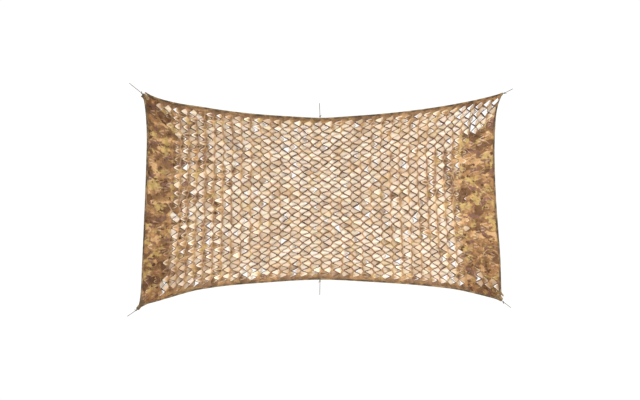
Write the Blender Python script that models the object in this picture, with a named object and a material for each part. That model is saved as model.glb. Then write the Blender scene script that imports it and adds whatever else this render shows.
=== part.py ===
"""Camouflage netting: a die-cut cloth net stretched flat between six short guy cords.

The net hangs in the XZ plane and faces -Y. The origin is the middle of its top hem, where
the top middle cord is tied on. All sizes are in metres.
"""

import bmesh
import bpy
import numpy as np
from mathutils import Matrix, Vector
from mathutils.geometry import delaunay_2d_cdt

# The four corners of the stretched net, as (x, z).
TOP_LEFT = np.array((-1.480, 0.205))
TOP_RIGHT = np.array((1.530, 0.208))
BOTTOM_LEFT = np.array((-1.513, -1.574))
BOTTOM_RIGHT = np.array((1.519, -1.530))

# How far the pull of the cloth draws each edge in from the straight line between its corners.
# Columns: share of the way along the edge, distance drawn in.
TOP_EDGE = (
    (0.00, 0.000), (0.015, 0.008), (0.03, 0.027), (0.085, 0.075), (0.16, 0.112),
    (0.24, 0.149), (0.33, 0.178), (0.42, 0.196), (0.4917, 0.2065), (0.58, 0.192),
    (0.66, 0.174), (0.74, 0.149), (0.82, 0.116), (0.89, 0.079), (0.95, 0.040),
    (1.00, 0.000),
)
BOTTOM_EDGE = (
    (0.00, 0.000), (0.04, 0.028), (0.09, 0.070), (0.15, 0.119), (0.21, 0.147),
    (0.35, 0.180), (0.50, 0.197), (0.65, 0.170), (0.80, 0.129), (0.88, 0.095),
    (0.94, 0.051), (1.00, 0.000),
)
LEFT_EDGE = (
    (0.00, 0.000), (0.10, 0.026), (0.20, 0.038), (0.31, 0.038), (0.43, 0.035),
    (0.60, 0.028), (0.83, 0.017), (0.94, 0.011), (1.00, 0.000),
)
RIGHT_EDGE = (
    (0.00, 0.000), (0.05, 0.036), (0.11, 0.056), (0.17, 0.063), (0.26, 0.067),
    (0.36, 0.064), (0.54, 0.048), (0.69, 0.027), (0.80, 0.012), (0.90, 0.006),
    (1.00, 0.000),
)

# What stands out at each corner, as (x, z) from the corner, clockwise seen from the front:
# two hem ends with a notch between them, a blunt tip, a tip under one hem end, a rolled tail.
TOP_LEFT_OUTLINE = ((-0.012, -0.024), (-0.018, -0.015), (-0.003, -0.006), (0.014, 0.007), (0.036, 0.001))
TOP_RIGHT_OUTLINE = ((-0.001, 0.004), (0.007, -0.008))
BOTTOM_RIGHT_OUTLINE = ((0.015, 0.037), (0.003, 0.024), (0.004, -0.003), (-0.008, -0.005))
BOTTOM_LEFT_OUTLINE = ((0.010, -0.009), (-0.007, -0.035), (-0.025, -0.023), (-0.006, 0.010))

# The cloth and its rolled hem. Columns: distance in from the edge, half the thickness.
CLOTH_THICKNESS = 0.002
HEM_PROFILE = ((0.000, 0.0025), (0.003, 0.0050), (0.011, 0.0050), (0.015, CLOTH_THICKNESS / 2))
# Points along each edge, closer together near the corners, and how far they stay off a corner.
LONG_EDGE_STATIONS = 29
SHORT_EDGE_STATIONS = 18
CORNER_CROWDING = 0.6
CORNER_CLEAR = 0.040

# The lattice of openings. Each repeat holds one opening that points right from its left
# strip and, half a row away, one that points left from its right strip.
REPEATS = 19
ROWS = 11
MIDDLE_SPREAD = 0.12
OPENING_MARGIN = 0.028
MOST_OPENINGS = 286
# One opening fully open: its base, where the strip bulges away from it, then its blunt point.
# Columns: repeats out from the middle of its strip, rows down from its own middle.
OPENING_OUTLINE = ((0.09, -0.34), (-0.03, 0.00), (0.09, 0.34), (0.58, 0.10), (0.58, -0.10))
BASE_POINTS = 3
SHUT_REACH = 0.03
# Columns: the way an opening points, rows that it sits below the start of its own row.
STAGGER = ((1, 0.5), (-1, 0.0))
# The tongue cut free of each opening stays on its base and stands out of the net: those of
# openings that point left to the front, the others to the back. The reach is a share of the
# way to the opening's point, the tip is half the thickness there.
TONGUE_REACH = 0.28
TONGUE_STAND = 0.030
TONGUE_TIP = 0.0005
# How far the stretch has opened the cuts. Columns: share of the way across, share open.
# Each opening reads it this many repeats from its strip.
OPENNESS_AT = 0.3
OPENNESS = (
    (0.00, 0.00), (0.06, 0.00), (0.12, 0.30), (0.20, 0.55), (0.27, 0.80), (0.40, 1.00),
    (0.60, 1.00), (0.70, 0.85), (0.80, 0.78), (0.87, 0.45), (0.92, 0.00), (1.00, 0.00),
)

# Soft folds in the closed cloth beside the side hems and out of the corners.
# Columns: share across, share down, lean from upright in degrees, length, width, height.
FOLDS = (
    (0.030, 0.08, 42, 0.30, 0.020, 0.008),
    (0.050, 0.22, 12, 0.42, 0.022, -0.007),
    (0.022, 0.36, -6, 0.40, 0.018, 0.006),
    (0.060, 0.45, 5, 0.50, 0.024, 0.007),
    (0.035, 0.62, -10, 0.46, 0.020, -0.006),
    (0.058, 0.74, 8, 0.36, 0.022, 0.007),
    (0.030, 0.88, -24, 0.34, 0.020, 0.008),
    (0.955, 0.20, -10, 0.34, 0.020, 0.007),
    (0.975, 0.38, 4, 0.42, 0.018, -0.006),
    (0.945, 0.50, -6, 0.46, 0.024, 0.008),
    (0.970, 0.66, 9, 0.40, 0.020, -0.007),
    (0.948, 0.78, -8, 0.34, 0.022, 0.006),
    (0.972, 0.90, 28, 0.30, 0.020, 0.008),
)
# Distance from the rim over which they fade in.
FOLD_FADE = 0.06
# The closed bands: the share of the width each takes up, and the spacing of its points.
BAND_SHARE = 0.15
BAND_POINTS = 0.055

# Guy cords. Columns: name, middle of the cut that the loop passes through, knot, far end.
TIES = (
    ("top_left", (-1.471, 0.190), (-1.490, 0.205), (-1.595, 0.289)),
    ("top_middle", (0.0, -0.021), (0.0, 0.011), (-0.004, 0.123)),
    ("top_right", (1.520, 0.198), (1.543, 0.206), (1.613, 0.242)),
    ("bottom_left", (-1.522, -1.592), (-1.536, -1.609), (-1.611, -1.661)),
    ("bottom_middle", (0.0, -1.333), (0.0, -1.365), (-0.002, -1.483)),
    ("bottom_right", (1.511, -1.521), (1.532, -1.540), (1.597, -1.589)),
)
CORD_DIAMETER = 0.005
CORD_STEP = 0.0125
GAP = 0.0003
CUT_RADIUS = 0.0047
# The loop stands this far to the front and back of the cloth, its inner end this much short of
# the middle of the cut.
LOOP_HALF_HEIGHT = 0.0082
LOOP_SETBACK = 0.0008
LOOP_BEND_POINTS = 7
KNOT_DIAMETER = 0.013
KNOT_SEGMENTS = 10
KNOT_RINGS = 6
SAME_POINT = 1e-5


def smooth(table, share):
    """Reads a smooth curve through a table's rows at each share."""
    place, value = np.array(table).T
    slope = np.gradient(value, place)
    row = np.clip(np.searchsorted(place, share, side="right") - 1, 0, len(place) - 2)
    step = place[row + 1] - place[row]
    t = (share - place[row]) / step
    rise = (3 - 2 * t) * t * t
    start_turn = slope[row] * step * t * (1 - t) ** 2
    end_turn = slope[row + 1] * step * t * t * (1 - t)
    return value[row] * (1 - rise) + value[row + 1] * rise + start_turn - end_turn


def edge(start, end, inward, table, share):
    """Points on one drawn-in edge of the net."""
    share = np.atleast_1d(np.asarray(share, float))[:, None]
    drawn_in = smooth(table, share[:, 0])[:, None]
    return start + (end - start) * share + np.array(inward) * drawn_in


def top(share):
    return edge(TOP_LEFT, TOP_RIGHT, (0, -1), TOP_EDGE, share)


def bottom(share):
    return edge(BOTTOM_LEFT, BOTTOM_RIGHT, (0, 1), BOTTOM_EDGE, share)


def left(share):
    return edge(TOP_LEFT, BOTTOM_LEFT, (1, 0), LEFT_EDGE, share)


def right(share):
    return edge(TOP_RIGHT, BOTTOM_RIGHT, (-1, 0), RIGHT_EDGE, share)


def on_net(across, down):
    """Points of the surface stretched between the four edges, as (x, z)."""
    across = np.atleast_1d(np.asarray(across, float))
    down = np.atleast_1d(np.asarray(down, float))
    a, d = across[:, None], down[:, None]
    between_ends = (1 - d) * top(across) + d * bottom(across)
    between_sides = (1 - a) * left(down) + a * right(down)
    corners = (
        (1 - a) * (1 - d) * TOP_LEFT
        + a * (1 - d) * TOP_RIGHT
        + (1 - a) * d * BOTTOM_LEFT
        + a * d * BOTTOM_RIGHT
    )
    return between_ends + between_sides - corners


def stations(count):
    """Shares along one edge, closer together near its corners."""
    t = np.linspace(0, 1, count)
    return t - CORNER_CROWDING / (2 * np.pi) * np.sin(2 * np.pi * t)


def clear_of_corners(points):
    """Those points that are clear of every corner's own outline."""
    corners = np.array((TOP_LEFT, TOP_RIGHT, BOTTOM_RIGHT, BOTTOM_LEFT))
    away = np.linalg.norm(points[:, None] - corners[None], axis=2).min(axis=1)
    return points[away > CORNER_CLEAR]


def rim():
    """The net's outline, anticlockwise as seen from the front."""
    clockwise = (
        TOP_LEFT + np.array(TOP_LEFT_OUTLINE),
        clear_of_corners(top(stations(LONG_EDGE_STATIONS))),
        TOP_RIGHT + np.array(TOP_RIGHT_OUTLINE),
        clear_of_corners(right(stations(SHORT_EDGE_STATIONS))),
        BOTTOM_RIGHT + np.array(BOTTOM_RIGHT_OUTLINE),
        clear_of_corners(bottom(stations(LONG_EDGE_STATIONS)))[::-1],
        BOTTOM_LEFT + np.array(BOTTOM_LEFT_OUTLINE),
        clear_of_corners(left(stations(SHORT_EDGE_STATIONS)))[::-1],
    )
    return np.concatenate(clockwise)[::-1]


def distance_to(outline, points):
    """How far each point is from the nearest stretch of a closed outline."""
    start, end = outline, np.roll(outline, -1, axis=0)
    run = end - start
    offset = points[:, None] - start[None]
    share = np.clip((offset * run).sum(axis=2) / (run * run).sum(axis=1), 0, 1)
    return np.linalg.norm(offset - share[:, :, None] * run, axis=2).min(axis=1)


def hem_lines():
    """Lines of points that follow each edge at the hem profile's distances."""
    edges = (
        (top, LONG_EDGE_STATIONS, 1),
        (right, SHORT_EDGE_STATIONS, 1),
        (bottom, LONG_EDGE_STATIONS, -1),
        (left, SHORT_EDGE_STATIONS, -1),
    )
    lines = []
    for along, count, turn in edges:
        points = along(stations(count))
        run = np.gradient(points, axis=0)
        inward = turn * np.column_stack((run[:, 1], -run[:, 0])) / np.linalg.norm(run, axis=1)[:, None]
        for distance, _ in HEM_PROFILE[1:]:
            lines.append(clear_of_corners(points[1:-1] + inward[1:-1] * distance))
    return lines


def column_share(column):
    """Share of the way across of a lattice column: repeats are wider in the middle."""
    t = column / REPEATS
    return t - MIDDLE_SPREAD / (2 * np.pi) * np.sin(2 * np.pi * t)


def openings():
    """The widest openings of the lattice: the outline of each, base first, and the way it points."""
    outline = np.array(OPENING_OUTLINE)
    height = abs(top(0.5)[0, 1] - bottom(0.5)[0, 1])
    first = OPENING_MARGIN / height
    half_rows = outline[:, 1].max()
    row_share = (1 - 2 * first) / (ROWS - STAGGER[0][1] + 2 * half_rows)
    found = []
    for strip in range(1, REPEATS):
        for row in range(ROWS):
            for direction, shift in STAGGER:
                open_share = smooth(OPENNESS, column_share(strip + direction * OPENNESS_AT))
                reach = outline[:, 0] * open_share + SHUT_REACH * (1 - open_share)
                column = strip + direction * reach
                down = first + row_share * (row + shift + half_rows + outline[:, 1])
                points = on_net(column_share(column), down)
                if direction < 0:
                    points = np.roll(points[::-1], BASE_POINTS, axis=0)
                found.append((open_share, row, strip, direction, points))
    found.sort(key=lambda opening: (-opening[0], opening[1], opening[2], opening[3]))
    return [(points, direction) for _, _, _, direction, points in found[:MOST_OPENINGS]]


def tie_cut(middle, knot):
    """The cut beside the hem that a tie's loop passes through: a hexagon."""
    out = np.array(knot) - np.array(middle)
    lean = np.arctan2(out[1], out[0])
    turns = lean + np.radians(np.arange(0, 360, 60))
    return np.array(middle) + CUT_RADIUS * np.column_stack((np.cos(turns), np.sin(turns)))


def band_points(outline):
    """A staggered scatter of points over the closed side bands, to carry their folds."""
    points = []
    rows = int((TOP_LEFT[1] - BOTTOM_LEFT[1]) / BAND_POINTS)
    columns = int(BAND_SHARE * (TOP_RIGHT[0] - TOP_LEFT[0]) / BAND_POINTS)
    for row in range(1, rows):
        for column in range(columns + 1):
            across = BAND_SHARE * (column + 0.5 * (row % 2)) / columns
            points.append((across, row / rows))
            points.append((1 - across, row / rows))
    across, down = np.array(points).T
    placed = on_net(across, down)
    return placed[distance_to(outline, placed) > BAND_POINTS / 2]


def fold_height(points, from_edge):
    """How far the folds lift the cloth off its flat plane."""
    lift = np.zeros(len(points))
    for across, down, lean, length, width, height in FOLDS:
        offset = points - on_net(across, down)
        lean = np.radians(lean)
        along = offset @ np.array((np.sin(lean), np.cos(lean)))
        beside = offset @ np.array((np.cos(lean), -np.sin(lean)))
        lift += height * np.exp(-((beside / width) ** 2) - (2 * along / length) ** 2)
    return lift * np.clip(from_edge / FOLD_FADE, 0, 1)


def keep_apart(points, holes, least):
    """Those points that lie outside every hole and not too near one."""
    kept = np.ones(len(points), bool)
    for hole in holes:
        kept &= distance_to(hole, points) > least
        kept &= np.linalg.norm(points - hole.mean(axis=0), axis=1) > least
    return points[kept]


def flat_triangles(outline, cells):
    """Triangles over the net's outline with its openings left out: points, faces, tongue bases."""
    cuts = [tie_cut(middle, knot) for _, middle, knot, _ in TIES]
    holes = [cell for cell, _ in cells] + cuts
    points, edges, faces = [], [], []

    def add(line, closed):
        first = len(points)
        points.extend(line)
        count = len(line)
        edges.extend((first + i, first + i + 1) for i in range(count - 1))
        if closed:
            faces.append(list(range(first, first + count)))

    add(outline, True)
    base_starts = []
    for hole in holes:
        base_starts.append(len(points))
        add(hole, True)
    for line in hem_lines():
        add(line, False)
    for point in keep_apart(band_points(outline), holes, BAND_POINTS / 3):
        add([point], False)
    for _, middle, knot, _ in TIES:
        add([2 * np.array(middle) - np.array(knot)], False)
    flat = [Vector(point) for point in points]
    inside_with_holes = 2
    found = delaunay_2d_cdt(flat, edges, faces, inside_with_holes, SAME_POINT)
    placed, _, triangles, sources, _, _ = found
    now_at = {source: place for place, from_points in enumerate(sources) for source in from_points}
    bases = [[now_at[start + i] for i in range(BASE_POINTS)] for start in base_starts[: len(cells)]]
    return np.array([tuple(point) for point in placed]), triangles, bases


def finish(node, color, roughness):
    """Gives a node its material."""
    material = bpy.data.materials.new(node.name)
    material.use_nodes = True
    shader = material.node_tree.nodes["Principled BSDF"]
    shader.inputs["Base Color"].default_value = (*color, 1)
    shader.inputs["Roughness"].default_value = roughness
    shader.inputs["Metallic"].default_value = 0
    node.data.materials.append(material)


def node_from(mesh, name):
    data = bpy.data.meshes.new(name)
    mesh.to_mesh(data)
    mesh.free()
    node = bpy.data.objects.new(name, data)
    bpy.context.collection.objects.link(node)
    return node


def in_plane(point):
    return Vector((point[0], 0, point[1]))


def add_tongue(mesh, front, back, cell, direction):
    """One tongue on the base of its opening: a leaf from its three base points to its tip."""
    base, point = cell[:BASE_POINTS].mean(axis=0), cell[BASE_POINTS:].mean(axis=0)
    tip = in_plane(base + (point - base) * TONGUE_REACH) + Vector((0, TONGUE_STAND * direction, 0))
    depth = Vector((0, TONGUE_TIP, 0))
    near, far = mesh.verts.new(tip - depth), mesh.verts.new(tip + depth)
    for step in range(BASE_POINTS - 1):
        mesh.faces.new((front[step], front[step + 1], near))
        mesh.faces.new((back[step + 1], back[step], far))
    mesh.faces.new((back[0], front[0], near, far))
    mesh.faces.new((front[-1], back[-1], far, near))


def net_cloth():
    """The die-cut cloth with its rolled hem and its tongues, one closed sheet."""
    outline, cells = rim(), openings()
    flat, triangles, bases = flat_triangles(outline, cells)
    from_edge = distance_to(outline, flat)
    lift = fold_height(flat, from_edge)
    half = np.interp(from_edge, *np.array(HEM_PROFILE).T)
    mesh = bmesh.new()
    front = [mesh.verts.new((x, -up - h, z)) for (x, z), up, h in zip(flat, lift, half)]
    back = [mesh.verts.new((x, -up + h, z)) for (x, z), up, h in zip(flat, lift, half)]
    for a, b, c in triangles:
        mesh.faces.new((front[a], front[b], front[c]))
        mesh.faces.new((back[c], back[b], back[a]))
    behind = dict(zip(front, back))
    in_base = {frozenset((front[a], front[b])) for base in bases for a, b in zip(base, base[1:])}
    for rim_edge in [e for e in mesh.edges if e.is_boundary and e.verts[0] in behind]:
        if frozenset(rim_edge.verts) in in_base:
            continue
        corner = rim_edge.link_loops[0]
        start, end = corner.vert, corner.link_loop_next.vert
        mesh.faces.new((end, start, behind[start], behind[end]))
    for base, (cell, direction) in zip(bases, cells):
        add_tongue(mesh, [front[i] for i in base], [back[i] for i in base], cell, direction)
    for vert in [v for v in mesh.verts if not v.link_faces]:
        mesh.verts.remove(vert)
    bmesh.ops.recalc_face_normals(mesh, faces=mesh.faces)
    finish(node_from(mesh, "net_cloth"), (0.39, 0.24, 0.12), 0.85)


def tube(name, points, closed):
    """A cord along a line of points, as a curve with a round bevel."""
    curve = bpy.data.curves.new(name, "CURVE")
    curve.dimensions = "3D"
    curve.bevel_depth = CORD_DIAMETER / 2
    curve.bevel_resolution = 2
    curve.use_fill_caps = not closed
    spline = curve.splines.new("POLY")
    spline.points.add(len(points) - 1)
    spline.use_cyclic_u = closed
    for place, point in zip(spline.points, points):
        place.co = (*point, 1)
    node = bpy.data.objects.new(name, curve)
    bpy.context.collection.objects.link(node)
    return node


def guy_cord(name, knot, far_end):
    """One straight cord, from just clear of its knot to its cut end."""
    start, end = in_plane(knot), in_plane(far_end)
    along = (end - start).normalized()
    start += along * (KNOT_DIAMETER / 2 + GAP)
    steps = max(2, round((end - start).length / CORD_STEP))
    points = [start.lerp(end, step / steps) for step in range(steps + 1)]
    finish(tube("cord_" + name, points, False), (0.30, 0.28, 0.20), 0.7)


def tie_loop(name, middle, knot, far_end):
    """The loop round the hem and its knot, one solid."""
    centre, through = in_plane(knot), in_plane(middle)
    out = (centre - through).normalized() * LOOP_HALF_HEIGHT
    depth = Vector((0, LOOP_HALF_HEIGHT, 0))
    bend = [(np.sin(turn), np.cos(turn)) for turn in np.linspace(0, np.pi, LOOP_BEND_POINTS)]
    inner = through + out * (1 - LOOP_SETBACK / LOOP_HALF_HEIGHT)
    points = [inner - out * reach + depth * up for reach, up in bend]
    outer = centre - out
    points += [outer + out * reach - depth * up for reach, up in bend]
    loop = tube("loop", points, True)
    graph = bpy.context.evaluated_depsgraph_get()
    mesh = bmesh.new()
    mesh.from_mesh(bpy.data.meshes.new_from_object(loop.evaluated_get(graph)))
    bmesh.ops.remove_doubles(mesh, verts=mesh.verts, dist=SAME_POINT)
    bpy.data.objects.remove(loop)
    tie = node_from(mesh, "tie_" + name)

    lump = bmesh.new()
    along = (in_plane(far_end) - centre).normalized()
    turn = along.to_track_quat("Z", "Y").to_matrix().to_4x4()
    place = Matrix.Translation(centre) @ turn
    bmesh.ops.create_uvsphere(
        lump,
        u_segments=KNOT_SEGMENTS,
        v_segments=KNOT_RINGS,
        radius=KNOT_DIAMETER / 2,
        matrix=place,
    )
    knob = node_from(lump, "knob")
    fuse = tie.modifiers.new("Knot", "BOOLEAN")
    fuse.operation = "UNION"
    fuse.object = knob
    knob.hide_render = True
    knob.display_type = "WIRE"
    finish(tie, (0.30, 0.28, 0.20), 0.7)


for old in list(bpy.data.objects):
    bpy.data.objects.remove(old)

net_cloth()
for tie_name, cut_middle, knot_place, cord_end in TIES:
    tie_loop(tie_name, cut_middle, knot_place, cord_end)
    guy_cord(tie_name, knot_place, cord_end)
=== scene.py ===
import bpy
import numpy as np
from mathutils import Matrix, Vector, noise


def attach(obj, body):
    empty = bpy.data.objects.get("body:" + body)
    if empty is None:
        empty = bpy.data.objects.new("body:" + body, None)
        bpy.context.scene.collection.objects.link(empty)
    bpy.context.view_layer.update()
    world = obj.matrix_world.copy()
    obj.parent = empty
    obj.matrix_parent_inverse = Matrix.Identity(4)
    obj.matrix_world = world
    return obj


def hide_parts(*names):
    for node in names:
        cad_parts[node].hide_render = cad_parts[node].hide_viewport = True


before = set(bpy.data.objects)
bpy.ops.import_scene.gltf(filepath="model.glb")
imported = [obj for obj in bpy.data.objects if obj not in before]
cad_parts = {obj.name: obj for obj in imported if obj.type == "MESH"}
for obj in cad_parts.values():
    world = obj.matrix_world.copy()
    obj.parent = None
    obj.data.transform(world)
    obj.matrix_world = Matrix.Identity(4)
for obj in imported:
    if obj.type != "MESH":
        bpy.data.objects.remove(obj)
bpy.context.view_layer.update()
bpy.ops.object.select_all(action="DESELECT")

# ---- Net cloth ----
# One length of thin printed polyester. A die has cut staggered rows of blunt tongues in it, and
# pulling the cloth lengthways opens the cuts into a net, while the tongues turn out of its plane.
# The cloth beside the two side hems is hardly stretched, so its cuts stay nearly shut.

# Corners of the stretched cloth, as (x, z).
TOP_LEFT = np.array((-1.480, 0.205))
TOP_RIGHT = np.array((1.530, 0.208))
BOTTOM_LEFT = np.array((-1.513, -1.574))
BOTTOM_RIGHT = np.array((1.519, -1.530))

# How far each edge is drawn in. Columns: share of the way along, distance drawn in.
TOP_EDGE = (
    (0.00, 0.000), (0.015, 0.008), (0.03, 0.027), (0.085, 0.075), (0.16, 0.112),
    (0.24, 0.149), (0.33, 0.178), (0.42, 0.196), (0.4917, 0.2065), (0.58, 0.192),
    (0.66, 0.174), (0.74, 0.149), (0.82, 0.116), (0.89, 0.079), (0.95, 0.040),
    (1.00, 0.000),
)
BOTTOM_EDGE = (
    (0.00, 0.000), (0.04, 0.028), (0.09, 0.070), (0.15, 0.119), (0.21, 0.147),
    (0.35, 0.180), (0.50, 0.197), (0.65, 0.170), (0.80, 0.129), (0.88, 0.095),
    (0.94, 0.051), (1.00, 0.000),
)
LEFT_EDGE = (
    (0.00, 0.000), (0.10, 0.026), (0.20, 0.038), (0.31, 0.038), (0.43, 0.035),
    (0.60, 0.028), (0.83, 0.017), (0.94, 0.011), (1.00, 0.000),
)
RIGHT_EDGE = (
    (0.00, 0.000), (0.05, 0.036), (0.11, 0.056), (0.17, 0.063), (0.26, 0.067),
    (0.36, 0.064), (0.54, 0.048), (0.69, 0.027), (0.80, 0.012), (0.90, 0.006),
    (1.00, 0.000),
)

# The die's pattern, and the size of one repeat of it in the flat cloth.
REPEATS = 38
ROWS = 22
FLAT_REPEAT = 0.067
FLAT_ROW = 0.080
# How much wider the repeats are in the middle, and how much taller the rows are away from it.
MIDDLE_SPREAD = 0.12
ROW_SPREAD = 0.13
# Uncut cloth up to the hems, as a share of the net, and the hems' places in rows and repeats.
TOP_MARGIN = 0.0187
SIDE_MARGIN = 0.0060
HEM_DROP = -0.28
HEM_SIDE = -0.20

# One cut and the cloth round it, as (repeats out from its strip, rows down from its middle).
# Columns: border with its neighbours, edge of the cut when shut, edge when fully open, how far
# that edge then turns out of the net's plane. The first rows are the tongue's base, and row 6,
# counted from 0, is its tip.
BASE_POINTS = 3
TIP_POINT = 6
CELL = (
    ((0.00, -0.500), (0.070, -0.260), (0.145, -0.420), 0.0050),
    ((0.00, 0.000), (0.070, 0.000), (-0.108, 0.000), 0.0040),
    ((0.00, 0.500), (0.070, 0.260), (0.145, 0.420), 0.0050),
    ((0.20, 0.500), (0.230, 0.245), (0.225, 0.392), 0.0080),
    ((0.40, 0.333), (0.440, 0.165), (0.412, 0.236), 0.0085),
    ((0.60, 0.167), (0.600, 0.080), (0.600, 0.096), 0.0075),
    ((0.80, 0.000), (0.660, 0.000), (0.725, 0.000), 0.0060),
    ((0.60, -0.167), (0.600, -0.080), (0.600, -0.096), 0.0075),
    ((0.40, -0.333), (0.440, -0.165), (0.412, -0.236), 0.0085),
    ((0.20, -0.500), (0.230, -0.245), (0.225, -0.392), 0.0080),
)
# How far the strips of the open net zigzag sideways, in repeats, and how soon they do.
STRIP_SWING = 0.155
SWING_GAIN = 1.5
# How far the uneven pull shifts the open net from its even grid, in repeats and rows, how fine
# that is, and the layers of noise that it follows across and down.
DRIFT = (0.13, 0.20)
DRIFT_FINENESS = 1.1
DRIFT_LAYERS = (5.4, 25.7)

# How far the cuts are open. Columns: share of the way across, openness.
OPENNESS = (
    (0.00, 0.00), (0.055, 0.00), (0.070, 0.15), (0.085, 0.42), (0.14, 0.55), (0.20, 0.66), (0.26, 0.755),
    (0.33, 0.84), (0.42, 0.95), (0.52, 0.97), (0.60, 0.94), (0.67, 0.84), (0.74, 0.765), (0.80, 0.74),
    (0.85, 0.64), (0.875, 0.53), (0.90, 0.29), (0.925, 0.09), (0.94, 0.00), (1.00, 0.00),
)
# How much that varies from place to place, and how fine the patches are across and down.
PATCHINESS = 0.22
PATCHES = (5.0, 7.0)
# The long hems hold the rows beside them. Columns: row, share of the openness.
END_ROWS = ((0.5, 0.75), (2.0, 1.0), (ROWS - 1.5, 1.0), (ROWS, 0.66))
# Places where the pull of a corner opens more cuts. Columns: x, z, radius, added openness.
CORNER_PULLS = (
    (1.465, 0.150, 0.055, 1.25), (1.410, 0.115, 0.080, 1.30), (1.330, 0.075, 0.085, 1.20),
    (1.240, 0.050, 0.085, 0.90), (1.250, -0.040, 0.090, 0.75), (1.160, 0.020, 0.080, 0.50),
    (1.050, -0.090, 0.100, 0.30), (1.120, -0.200, 0.100, 0.25), (1.340, -0.060, 0.050, 0.70),
    (-1.320, 0.115, 0.036, 0.80), (-1.262, 0.064, 0.036, 1.10), (-1.060, 0.050, 0.045, 0.60),
    (-1.310, -1.385, 0.045, 1.10), (-1.315, -1.440, 0.036, 0.90), (-1.480, -1.490, 0.040, 0.60),
    (-1.190, -1.300, 0.120, 0.30), (-1.080, -1.380, 0.100, 0.25),
    (1.105, -1.384, 0.045, 0.80), (1.190, -1.396, 0.045, 0.80), (1.345, -1.370, 0.045, 1.00),
    (1.330, -1.300, 0.040, 0.70), (1.450, -1.395, 0.045, 0.90), (1.087, -1.324, 0.045, 0.80),
    (1.020, -1.300, 0.060, 0.50),
)
# Gathered cloth at the corners lies in its own shade. Columns: x, z, radius, how dark.
GATHERS = (
    (-1.46, 0.16, 0.16, 0.75), (-1.30, 0.10, 0.12, 0.55), (-1.40, -0.03, 0.13, 0.50),
    (-1.16, 0.05, 0.10, 0.40), (-1.00, 0.00, 0.10, 0.30),
    (1.50, 0.14, 0.10, 0.85), (1.38, 0.08, 0.13, 0.55),
    (-1.47, -1.49, 0.13, 0.60), (-1.40, -1.32, 0.10, 0.45), (-1.28, -1.40, 0.38, 0.66),
    (1.46, -1.47, 0.14, 1.00), (1.36, -1.40, 0.12, 0.85), (1.22, -1.41, 0.13, 0.85),
    (1.08, -1.39, 0.10, 0.60), (1.32, -1.33, 0.30, 0.46),
)
# Cloth beside the hems is darker too. Columns: how dark, how far that reaches in rows or repeats.
LONG_HEM_SHADE = (0.80, 0.80)
SIDE_HEM_SHADE = (0.65, 0.30)
# The creased strips and the strands between the cuts, each with its shade where the net is open.
# Columns: openness, share of that shade.
STRIP_SHADE = 0.40
STRAND_SHADE = 0.62
SHADE_GAIN = ((0.00, 0.00), (0.70, 0.82), (0.85, 1.00), (1.00, 1.00))
# How far the strands are paled towards the painted half glow. Columns: openness, paling.
STRAND_PALING = ((0.10, 0.00), (0.35, 0.28), (0.65, 0.32), (1.00, 0.18))
# Soft folds in the closed cloth. Columns: share across, share down, lean from upright in
# degrees, length, width, height.
FOLDS = (
    (0.030, 0.08, 42, 0.30, 0.020, 0.008),
    (0.050, 0.22, 12, 0.42, 0.022, -0.007),
    (0.022, 0.36, -6, 0.40, 0.018, 0.006),
    (0.060, 0.45, 5, 0.50, 0.024, 0.007),
    (0.035, 0.62, -10, 0.46, 0.020, -0.006),
    (0.058, 0.74, 8, 0.36, 0.022, 0.007),
    (0.030, 0.88, -24, 0.34, 0.020, 0.008),
    (0.955, 0.20, -10, 0.34, 0.020, 0.007),
    (0.975, 0.38, 4, 0.42, 0.018, -0.006),
    (0.945, 0.50, -6, 0.46, 0.024, 0.008),
    (0.970, 0.66, 9, 0.40, 0.020, -0.007),
    (0.948, 0.78, -8, 0.34, 0.022, 0.006),
    (0.972, 0.90, 28, 0.30, 0.020, 0.008),
)
# Small ripples all over. Their height, and how fine they are across and down.
RIPPLE_HEIGHT = 0.0070
RIPPLES = (14.0, 9.0)
CLOTH_THICKNESS = 0.0007
SHARPEST_FOLD = np.radians(50)


def read_off(table, value):
    """Reads the straight lines through a table's rows at a value."""
    return np.interp(value, *np.array(table).T)


def smooth(table, share):
    """Reads a smooth curve through a table's rows at each share."""
    place, value = np.array(table).T
    slope = np.gradient(value, place)
    row = np.clip(np.searchsorted(place, share, side="right") - 1, 0, len(place) - 2)
    step = place[row + 1] - place[row]
    t = (share - place[row]) / step
    rise = (3 - 2 * t) * t * t
    start_turn = slope[row] * step * t * (1 - t) ** 2
    end_turn = slope[row + 1] * step * t * t * (1 - t)
    return value[row] * (1 - rise) + value[row + 1] * rise + start_turn - end_turn


def edge(start, end, inward, table, share):
    """Points on one drawn-in edge of the cloth."""
    share = np.atleast_1d(np.asarray(share, float))[:, None]
    drawn_in = smooth(table, share[:, 0])[:, None]
    return start + (end - start) * share + np.array(inward) * drawn_in


def top(share):
    return edge(TOP_LEFT, TOP_RIGHT, (0, -1), TOP_EDGE, share)


def bottom(share):
    return edge(BOTTOM_LEFT, BOTTOM_RIGHT, (0, 1), BOTTOM_EDGE, share)


def left(share):
    return edge(TOP_LEFT, BOTTOM_LEFT, (1, 0), LEFT_EDGE, share)


def right(share):
    return edge(TOP_RIGHT, BOTTOM_RIGHT, (-1, 0), RIGHT_EDGE, share)


def on_net(across, down):
    """Points of the surface stretched between the four edges, as (x, z)."""
    a, d = np.atleast_1d(across)[:, None], np.atleast_1d(down)[:, None]
    between_ends = (1 - d) * top(across) + d * bottom(across)
    between_sides = (1 - a) * left(down) + a * right(down)
    corners = (
        (1 - a) * (1 - d) * TOP_LEFT
        + a * (1 - d) * TOP_RIGHT
        + (1 - a) * d * BOTTOM_LEFT
        + a * d * BOTTOM_RIGHT
    )
    return between_ends + between_sides - corners


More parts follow.
